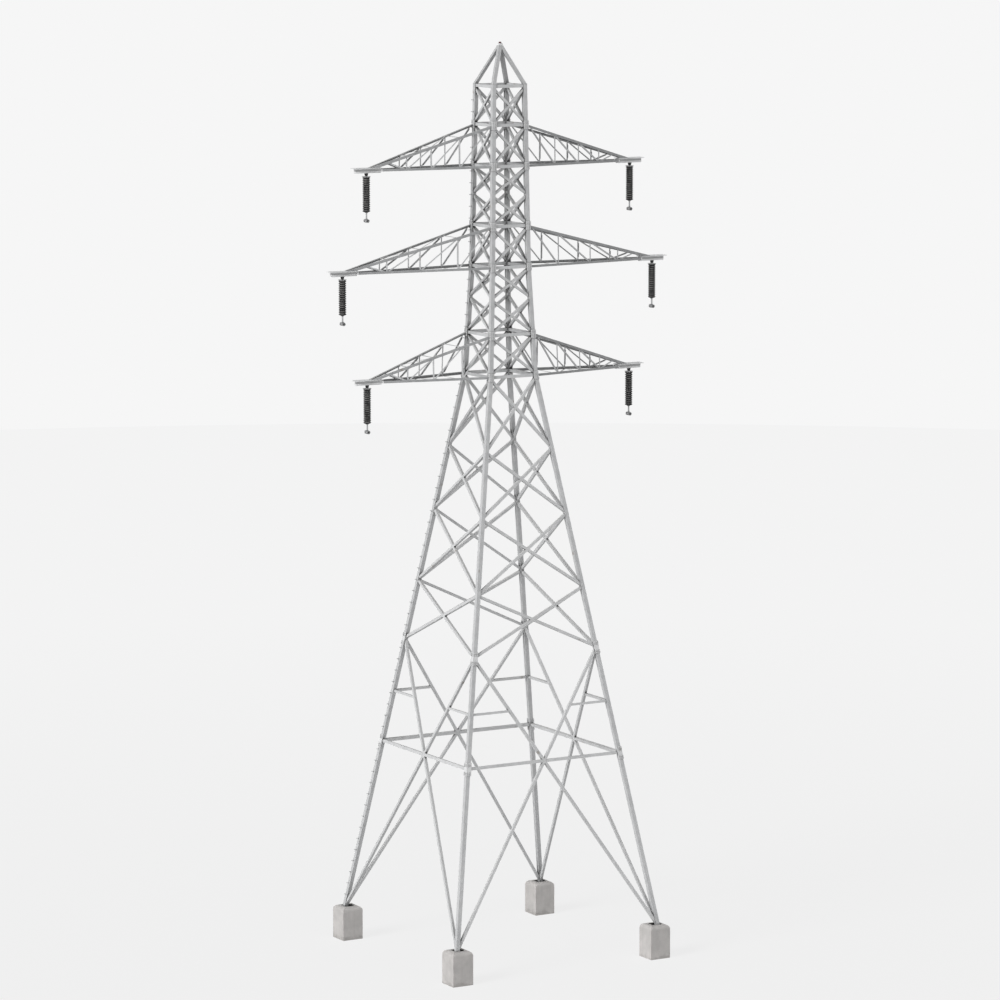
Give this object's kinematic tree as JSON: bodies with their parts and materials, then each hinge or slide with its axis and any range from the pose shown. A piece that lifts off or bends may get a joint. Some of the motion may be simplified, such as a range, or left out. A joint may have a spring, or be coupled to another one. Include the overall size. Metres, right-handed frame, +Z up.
{
  "type": "lattice transmission pylon",
  "caption": "Double-circuit lattice steel transmission tower on concrete footings, with three pairs of laced cross-arms and hanging insulator strings.",
  "frame": {"origin": "on the ground, midway between the four footings", "axes": "+Z up, +X along the cross-arms, +Y along the line"},
  "size_m": [13.12, 8.528, 31.2128],
  "materials": {
    "galvanised_steel": "hot-dip galvanised, weathered to a matt light grey",
    "plate_steel": "newer galvanised plate, slightly brighter",
    "fitting_steel": "galvanised forged fittings",
    "concrete": "cast concrete, form-smooth sides",
    "insulator_glaze": "dark grey satin sheds",
    "lamp_red": "dark red moulded lens"
  },
  "bodies": {
    "root": {"footing_front_left": "concrete", "footing_front_right": "concrete", "footing_back_right": "concrete", "footing_back_left": "concrete", "leg_front_left": "galvanised_steel", "leg_front_right": "galvanised_steel", "leg_back_right": "galvanised_steel", "leg_back_left": "galvanised_steel", "leg_splice_plates": "plate_steel", "body_bracing_front": "galvanised_steel", "body_bracing_right": "galvanised_steel", "body_bracing_back": "galvanised_steel", "body_bracing_left": "galvanised_steel", "cage_bracing_front": "galvanised_steel", "cage_bracing_right": "galvanised_steel", "cage_bracing_back": "galvanised_steel", "cage_bracing_left": "galvanised_steel", "peak_frame": "galvanised_steel", "peak_cap": "plate_steel", "warning_lamp": "lamp_red", "step_bolts": "galvanised_steel", "arm_low_left": "galvanised_steel", "arm_low_right": "galvanised_steel", "arm_mid_left": "galvanised_steel", "arm_mid_right": "galvanised_steel", "arm_top_left": "galvanised_steel", "arm_top_right": "galvanised_steel", "lacing_low_left": "galvanised_steel", "lacing_low_right": "galvanised_steel", "lacing_mid_left": "galvanised_steel", "lacing_mid_right": "galvanised_steel", "lacing_top_left": "galvanised_steel", "lacing_top_right": "galvanised_steel"},
    "string_low_left": {"insulator_low_left": "insulator_glaze", "fittings_low_left": "fitting_steel"},
    "string_low_right": {"insulator_low_right": "insulator_glaze", "fittings_low_right": "fitting_steel"},
    "string_mid_left": {"insulator_mid_left": "insulator_glaze", "fittings_mid_left": "fitting_steel"},
    "string_mid_right": {"insulator_mid_right": "insulator_glaze", "fittings_mid_right": "fitting_steel"},
    "string_top_left": {"insulator_top_left": "insulator_glaze", "fittings_top_left": "fitting_steel"},
    "string_top_right": {"insulator_top_right": "insulator_glaze", "fittings_top_right": "fitting_steel"}
  },
  "joints": [
    {"name": "swing_low_left", "type": "hinge", "parent": "root", "child": "string_low_left", "pos_m": [-5.14, 0, 19.822], "axis": [0, 1, 0], "range_deg": [-35, 35]},
    {"name": "swing_low_right", "type": "hinge", "parent": "root", "child": "string_low_right", "pos_m": [5.14, 0, 19.822], "axis": [0, 1, 0], "range_deg": [-35, 35]},
    {"name": "swing_mid_left", "type": "hinge", "parent": "root", "child": "string_mid_left", "pos_m": [-6.06, 0, 23.512], "axis": [0, 1, 0], "range_deg": [-35, 35]},
    {"name": "swing_mid_right", "type": "hinge", "parent": "root", "child": "string_mid_right", "pos_m": [6.06, 0, 23.512], "axis": [0, 1, 0], "range_deg": [-35, 35]},
    {"name": "swing_top_left", "type": "hinge", "parent": "root", "child": "string_top_left", "pos_m": [-5.14, 0, 26.919], "axis": [0, 1, 0], "range_deg": [-35, 35]},
    {"name": "swing_top_right", "type": "hinge", "parent": "root", "child": "string_top_right", "pos_m": [5.14, 0, 26.919], "axis": [0, 1, 0], "range_deg": [-35, 35]}
  ]
}
